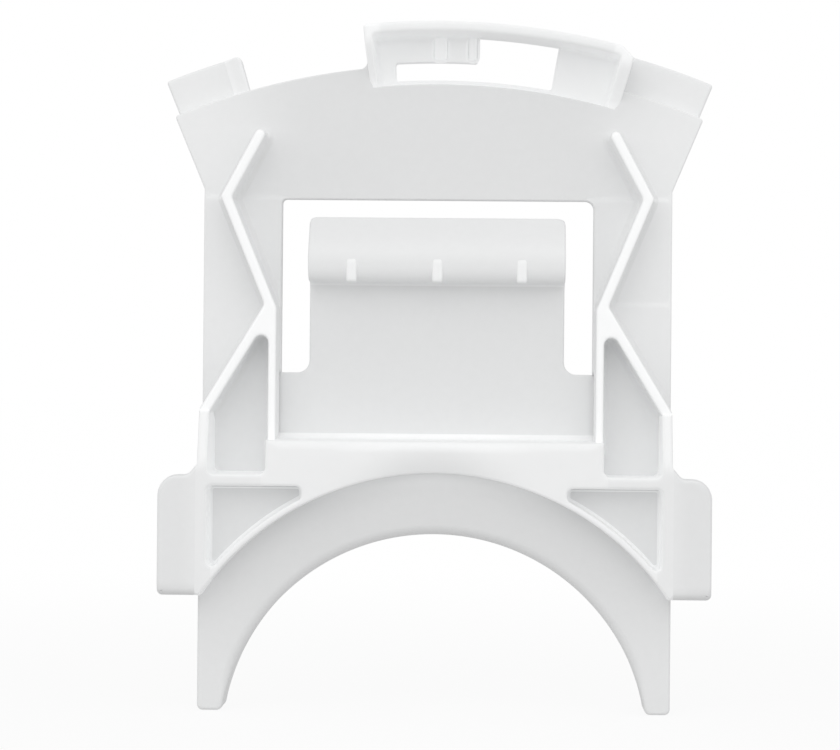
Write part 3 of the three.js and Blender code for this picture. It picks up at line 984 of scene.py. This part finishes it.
def build_lip():
    front, back = lip_lines()
    flat = (1.0, 0.0)
    under = ((0, LIP_FOOT), flat)
    above = ((0, LIP_FOOT + 1.5), flat)
    end = ((0, LIP_END), flat)
    profile = rounded([
        (-0.8, LIP_FOOT - 0.65),
        (-0.02, LIP_FOOT - 0.65),
        (0.0, LIP_FOOT, 0.5),
        meet(*front, *under) + (LIP_NOSE_R,),
        meet(*front, *end) + (0.55,),
        meet(*back, *end) + (0.5,),
        meet(*back, *above) + (1.5,),
        (TONGUE_BACK, LIP_FOOT + 1.5, 0.6),
        (TONGUE_BACK, LIP_FOOT + 0.7),
        (TONGUE_BACK + 0.15, LIP_FOOT + 0.55),
    ])
    profile = divided(profile, 0.7)
    bm = prism(
        [profile],
        lambda level, z: -TONGUE_X + lip_end_corner(z),
        lambda level, z: TONGUE_X - lip_end_corner(z),
        edge=0.3,
        back_edge=0.3,
        place=along_x,
    )
    finish_piece("thumb_lip", bm, "lip", body="tongue")


def build_gussets():
    front, _ = lip_lines()
    proud = 0.15
    top_z = LIP_FOOT + 5.4
    top = meet(*front, (0, top_z), (1.0, 0.0))
    profile = rounded([
        (0.6, LIP_FOOT - 0.02),
        (NOSE + proud, LIP_FOOT - 0.02, 0.5),
        (NOSE + proud, LIP_FOOT + 2.9, 1.8),
        (top[0] - 0.05, top_z),
        (top[0] - 0.9, top_z - 0.4),
        (NOSE - 1.6, LIP_FOOT + 2.6),
        (NOSE - 2.6, LIP_FOOT + 0.9),
        (0.6, LIP_FOOT + 0.7),
    ])
    for i in range(3):
        node = f"lip_gusset_{i + 1}"
        lo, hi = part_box(node)
        bm = prism([divided(profile, 0.6)], lo.x / MM, hi.x / MM, edge=0.35, back_edge=0.35,
                   place=along_x)
        finish_piece(node, bm, "gusset", body="tongue")


# ---- Materials --------------------------------------------------------------------------------


class Nodes:
    """Builds a material's nodes with short calls."""

    def __init__(self, tree):
        self.tree = tree

    def add(self, kind, **settings):
        node = self.tree.nodes.new(kind)
        for key, value in settings.items():
            setattr(node, key, value)
        return node

    def put(self, target, value):
        if isinstance(value, bpy.types.NodeSocket):
            self.tree.links.new(value, target)
        else:
            target.default_value = value

    def math(self, operation, a, b=0.0, clamp=False):
        node = self.add("ShaderNodeMath", operation=operation, use_clamp=clamp)
        self.put(node.inputs[0], a)
        self.put(node.inputs[1], b)
        return node.outputs[0]

    def noise(self, where, scale, detail=2.0, roughness=0.5):
        node = self.add("ShaderNodeTexNoise")
        self.put(node.inputs["Vector"], where)
        node.inputs["Scale"].default_value = scale
        node.inputs["Detail"].default_value = detail
        node.inputs["Roughness"].default_value = roughness
        return node.outputs["Fac"]

    def band(self, value, start, end, low_value, high_value):
        node = self.add("ShaderNodeMapRange", interpolation_type="SMOOTHSTEP")
        self.put(node.inputs["Value"], value)
        for key, number in (("From Min", start), ("From Max", end), ("To Min", low_value),
                            ("To Max", high_value)):
            node.inputs[key].default_value = number
        return node.outputs["Result"]


def milky_plastic(name, tone, front=0.0, painted_crest_light=0.0, glow=0.0, crest_painted_glow=0.0, side_painted_glow=0.0,
                  painted_shift=None, painted_glow_where=None):
    """Moulded milky plastic. The light that comes through it where it is thin is painted in:
    crests that face the front get a painted highlight in their colour, and crests, the walls of
    narrow pockets and their floors are given a painted glow, a little light of their own. The
    front tone shift, the tone shift by place, the glow and the glow by place paint light and shade
    into the tone and the glow of the faces that look forward."""
    material = bpy.data.materials.new(name)
    material.use_nodes = True
    tree = material.node_tree
    nodes = Nodes(tree)
    shader = tree.nodes["Principled BSDF"]
    where = nodes.add("ShaderNodeTexCoord").outputs["Object"]
    place = nodes.add("ShaderNodeSeparateXYZ")
    nodes.put(place.inputs[0], where)
    facing = nodes.add("ShaderNodeSeparateXYZ")
    nodes.put(facing.inputs[0], nodes.add("ShaderNodeNewGeometry").outputs["Normal"])
    level = nodes.math("SUBTRACT", FRONT_Y * MM, place.outputs["Y"])
    high_up = nodes.band(level, 2.6 * MM, 5.2 * MM, 0.0, 1.0)
    forward = nodes.band(facing.outputs["Y"], -0.95, -0.2, 1.0, 0.0)
    sideways = nodes.math("MULTIPLY", nodes.band(facing.outputs["Y"], -0.9, -0.4, 0.0, 1.0),
                          nodes.band(facing.outputs["Y"], 0.1, 0.5, 1.0, 0.0))
    outward = nodes.math("MULTIPLY", facing.outputs["X"], nodes.math("SIGN", place.outputs["X"]))
    sideways = nodes.math("MULTIPLY", sideways, nodes.band(outward, 0.75, 0.98, 1.0, 0.0))
    on_crest = nodes.math("MULTIPLY", high_up, forward)
    flow = nodes.noise(where, 38.0, 3.0, 0.45)
    grain = nodes.noise(where, 900.0, 4.0, 0.6)
    # Painted highlight: faces near the crests that look forward are made lighter in colour.
    shade = nodes.math("ADD", nodes.math("MULTIPLY", on_crest, painted_crest_light), tone)
    shade = nodes.math("ADD", shade, nodes.math("MULTIPLY", nodes.math("SUBTRACT", flow, 0.5), 0.045))
    shade = nodes.math("ADD", shade, nodes.math("MULTIPLY", nodes.math("SUBTRACT", grain, 0.5), 0.03))
    # Painted light and shade: tone shifts on the faces that look forward.
    front_painted_shift = painted_shift(nodes, place.outputs) if painted_shift else 0.0
    front_painted_shift = nodes.math("MULTIPLY", nodes.math("ADD", front_painted_shift, front), forward)
    shade = nodes.math("ADD", shade, front_painted_shift)
    colour = nodes.add("ShaderNodeCombineColor")
    for channel, tint in zip(colour.inputs, (0.994, 1.0, 1.002)):
        nodes.put(channel, nodes.math("MULTIPLY", shade, tint))
    nodes.put(shader.inputs["Base Color"], colour.outputs[0])
    # Painted glow: a little emission in the plastic's own colour on forward crests and faces, and on
    # sideways pocket walls.
    front_painted_glow = nodes.math("ADD", nodes.math("MULTIPLY", high_up, crest_painted_glow), glow)
    if painted_glow_where:
        front_painted_glow = nodes.math("ADD", front_painted_glow, painted_glow_where(nodes, place.outputs))
    painted_glow_strength = nodes.math("ADD", nodes.math("MULTIPLY", front_painted_glow, forward),
                           nodes.math("MULTIPLY", sideways, side_painted_glow))
    nodes.put(shader.inputs["Emission Color"], colour.outputs[0])
    nodes.put(shader.inputs["Emission Strength"], painted_glow_strength)
    rough = nodes.math("ADD", 0.40, nodes.math("MULTIPLY", grain, 0.10))
    rough = nodes.math("ADD", rough, nodes.math("MULTIPLY", flow, 0.06))
    nodes.put(shader.inputs["Roughness"], rough)
    shader.inputs["IOR"].default_value = 1.46
    shader.inputs["Specular IOR Level"].default_value = 0.35
    sink = nodes.noise(where, 120.0, 1.0, 0.4)
    pores = nodes.noise(where, 3800.0, 2.0, 0.5)
    height = nodes.math("ADD", nodes.math("MULTIPLY", sink, 8.0), nodes.math("MULTIPLY", pores, 0.35))
    bump = nodes.add("ShaderNodeBump")
    bump.inputs["Strength"].default_value = 0.25
    bump.inputs["Distance"].default_value = 0.00002
    nodes.put(bump.inputs["Height"], height)
    nodes.put(shader.inputs["Normal"], bump.outputs[0])
    MATERIALS[name] = material


def painted_side_light(nodes, place):
    """Painted light: the plate is made a little lighter out towards its sides."""
    across = nodes.math("ABSOLUTE", place["X"])
    return nodes.math("MULTIPLY", nodes.band(across, 18 * MM, 36 * MM, 0.0, 0.10),
                      nodes.band(place["Z"], 38 * MM, 56 * MM, 0.0, 1.0))


def belt_radius(nodes, place):
    up = nodes.math("SUBTRACT", place["Z"], ARC_Z * MM)
    square = nodes.math("ADD", nodes.math("MULTIPLY", up, up),
                        nodes.math("MULTIPLY", place["X"], place["X"]))
    return nodes.math("SQRT", square)


def painted_web_shade(nodes, place):
    """Painted shade: the web darkens from the legs up to the crown of the saddle."""
    return nodes.band(place["Z"], 4 * MM, 26 * MM, 0.0, -0.075)


def painted_ear_shade(nodes, place):
    """Painted shade and light: the ears darken at their rounded lower edges
    and lighten beside the side walls.
    """
    painted_low_edge_shade = nodes.band(place["Z"], EAR_LOW * MM, (EAR_LOW + 2.2) * MM, -0.10, 0.0)
    across = nodes.math("ABSOLUTE", place["X"])
    return nodes.math("ADD", painted_low_edge_shade, nodes.band(across, HALF * MM, (HALF + 2.5) * MM, 0.03, 0.0))


def painted_wall_light(nodes, place):
    """Painted light: the side walls lighten above the shelves, where they thin out."""
    return nodes.band(place["Z"], SHELF_TOP * MM, (SHELF_TOP + 3) * MM, 0.0, 0.07)


def painted_nose_glow(nodes, place):
    """Painted glow round the lip's nose, where the lip is thinnest."""
    return nodes.band(place["Z"], (LIP_FOOT + 1.5) * MM, (LIP_FOOT + 3.5) * MM, 0.05, 0.0)


def painted_bridge_shade(nodes, place):
    """Painted light and shade: the bridge is lightest over the crown of the saddle."""
    return nodes.band(nodes.math("ABSOLUTE", place["X"]), 6 * MM, 16 * MM, 0.02, -0.03)


def painted_crown_glow(nodes, place):
    """Painted glow on the web just under the bridge's foot."""
    near = nodes.band(belt_radius(nodes, place), (BELT_IN - 2.6) * MM, BELT_IN * MM, 0.0, 0.08)
    across = nodes.math("ABSOLUTE", place["X"])
    return nodes.math("MULTIPLY", near, nodes.band(across, 10 * MM, 20 * MM, 1.0, 0.0))


def build_materials():
    # One milky plastic in lit and shaded copies: the looks' differences in tone, their front shifts,
    # crest highlights and glows are painted light and shade; the flow and grain noise is the plastic's
    # own.
    milky_plastic("frame", 0.90, front=-0.012, painted_crest_light=0.02, painted_shift=painted_side_light)
    milky_plastic("bridge", 0.93, glow=0.11, side_painted_glow=0.08, painted_shift=painted_bridge_shade)
    milky_plastic("ear", 0.915, painted_shift=painted_ear_shade)
    milky_plastic("web", 0.90, front=0.015, painted_shift=painted_web_shade, painted_glow_where=painted_crown_glow)
    milky_plastic("rib", 0.90, painted_crest_light=0.07, crest_painted_glow=0.16, side_painted_glow=0.04)
    milky_plastic("belt", 0.90, painted_crest_light=0.07, crest_painted_glow=0.05, side_painted_glow=0.08)
    milky_plastic("cradle", 0.89, painted_crest_light=0.03, crest_painted_glow=0.05, side_painted_glow=0.16, painted_shift=painted_wall_light)
    milky_plastic("tray", 0.91, glow=0.13, side_painted_glow=0.12)
    milky_plastic("rail", 0.92, glow=0.11, side_painted_glow=0.12)
    milky_plastic("tray_wall", 0.92, glow=0.18, side_painted_glow=0.15)
    milky_plastic("floor_rib", 0.92, glow=0.17, side_painted_glow=0.13)
    milky_plastic("tab_end", 0.94, glow=0.09, side_painted_glow=0.05)
    milky_plastic("tongue", 0.90, front=-0.012)
    milky_plastic("lip", 0.90, front=0.005, painted_crest_light=0.035, painted_glow_where=painted_nose_glow)
    milky_plastic("gusset", 0.93, painted_crest_light=0.04, glow=0.07)


# ---- Floor, light and camera ------------------------------------------------------------------
FLOOR_BOUNCE = 0.55
SKY_TOP = 0.95
SKY_LEVEL = 1.03
SKY_LOW = 0.69
SKY_BEHIND = 0.62  # how bright the room is behind the object, against in front of it


def build_floor():
    bm = bmesh.new()
    bmesh.ops.create_circle(bm, cap_ends=True, segments=96, radius=4.0)
    mesh = bpy.data.meshes.new("floor")
    bm.to_mesh(mesh)
    bm.free()
    floor = bpy.data.objects.new("floor", mesh)
    bpy.context.scene.collection.objects.link(floor)
    floor.location.z = cad_low.z - 0.0001
    material = bpy.data.materials.new("pale floor")
    material.use_nodes = True
    tree = material.node_tree
    tree.nodes.clear()
    nodes = Nodes(tree)
    where = nodes.add("ShaderNodeTexCoord").outputs["Object"]
    distance = nodes.add("ShaderNodeVectorMath", operation="LENGTH")
    nodes.put(distance.inputs[0], where)
    away = nodes.band(distance.outputs["Value"], 0.05, 0.30, 0.0, 1.0)
    seen = nodes.add("ShaderNodeLightPath").outputs["Is Camera Ray"]
    mottle = nodes.math("MULTIPLY", nodes.noise(where, 25.0), 0.01)
    glow = nodes.add("ShaderNodeEmission")
    strength = nodes.band(seen, 0.0, 1.0, FLOOR_BOUNCE, 1.0)
    nodes.put(glow.inputs["Strength"], strength)
    matt = nodes.add("ShaderNodeBsdfDiffuse")
    matt.inputs["Color"].default_value = (0.95, 0.95, 0.95, 1)
    mix = nodes.add("ShaderNodeMixShader")
    fac = nodes.math("ADD", nodes.math("MULTIPLY", away, 0.12), nodes.math("SUBTRACT", 0.88, mottle))
    nodes.put(mix.inputs[0], nodes.math("MINIMUM", fac, 1.0))
    nodes.put(mix.inputs[1], matt.outputs[0])
    nodes.put(mix.inputs[2], glow.outputs[0])
    out = nodes.add("ShaderNodeOutputMaterial")
    nodes.put(out.inputs["Surface"], mix.outputs[0])
    floor.data.materials.append(material)


def build_world():
    """A white room: the camera sees pure white, and the object is lit a little more from above."""
    world = bpy.data.worlds.new("studio")
    world.use_nodes = True
    tree = world.node_tree
    tree.nodes.clear()
    nodes = Nodes(tree)
    split = nodes.add("ShaderNodeSeparateXYZ")
    nodes.put(split.inputs[0], nodes.add("ShaderNodeTexCoord").outputs["Generated"])
    upper = nodes.band(split.outputs["Z"], 0.0, 1.0, 0.0, SKY_TOP - SKY_LEVEL)
    lower = nodes.band(split.outputs["Z"], -1.0, 0.0, SKY_LOW, SKY_LEVEL)
    behind = nodes.band(split.outputs["Y"], -0.9, 0.6, 1.0, SKY_BEHIND)
    room = nodes.add("ShaderNodeBackground")
    nodes.put(room.inputs["Strength"], nodes.math("MULTIPLY", nodes.math("ADD", upper, lower), behind))
    white = nodes.add("ShaderNodeBackground")
    seen = nodes.add("ShaderNodeLightPath").outputs["Is Camera Ray"]
    mix = nodes.add("ShaderNodeMixShader")
    nodes.put(mix.inputs[0], seen)
    nodes.put(mix.inputs[1], room.outputs[0])
    nodes.put(mix.inputs[2], white.outputs[0])
    out = nodes.add("ShaderNodeOutputWorld")
    nodes.put(out.inputs["Surface"], mix.outputs[0])
    white.inputs["Color"].default_value = (1, 1, 1, 1)
    room.inputs["Color"].default_value = (1, 1, 1, 1)
    bpy.context.scene.world = world


def add_light(name, place, target, size, watts):
    data = bpy.data.lights.new(name, "AREA")
    data.shape = "DISK"
    data.size = size
    data.energy = watts
    lamp = bpy.data.objects.new(name, data)
    lamp.location = place
    lamp.rotation_euler = (Vector(target) - Vector(place)).to_track_quat("-Z", "Y").to_euler()
    bpy.context.scene.collection.objects.link(lamp)


def build_lights():
    add_light("key", (-0.2, -1.2, 0.8), (0, 0, 0.05), 1.4, 1.8)


CAMERA_X = 7.76
CAMERA_Z = 46.75
CAMERA_AWAY = 400.0
AIM_X = -2.3
AIM_Z = 46.7
SEEN_WIDTH = 117.6  # millimetres across the picture, at the plate
CAMERA_ROLL = 0.009


def build_camera():
    data = bpy.data.cameras.new("camera")
    data.sensor_width = 36.0
    data.lens = data.sensor_width * CAMERA_AWAY / SEEN_WIDTH
    data.clip_start = 0.01
    data.clip_end = 20
    camera = bpy.data.objects.new("camera", data)
    place = Vector((CAMERA_X, FRONT_Y - CAMERA_AWAY, CAMERA_Z)) * MM
    aim = Vector((AIM_X, FRONT_Y, AIM_Z)) * MM
    camera.location = place
    turn = (aim - place).to_track_quat("-Z", "Y").to_matrix()
    roll = Matrix.Rotation(CAMERA_ROLL, 3, "Z")
    camera.rotation_euler = (turn @ roll).to_euler()
    bpy.context.scene.collection.objects.link(camera)
    bpy.context.scene.camera = camera
    bpy.context.scene.view_settings.view_transform = "Standard"


build_materials()
build_cradle()
build_web()
build_rims()
build_plate()
build_ribs()
build_tabs()
build_tray()
build_tongue()
build_lip()
build_gussets()
build_floor()
build_world()
build_lights()
build_camera()
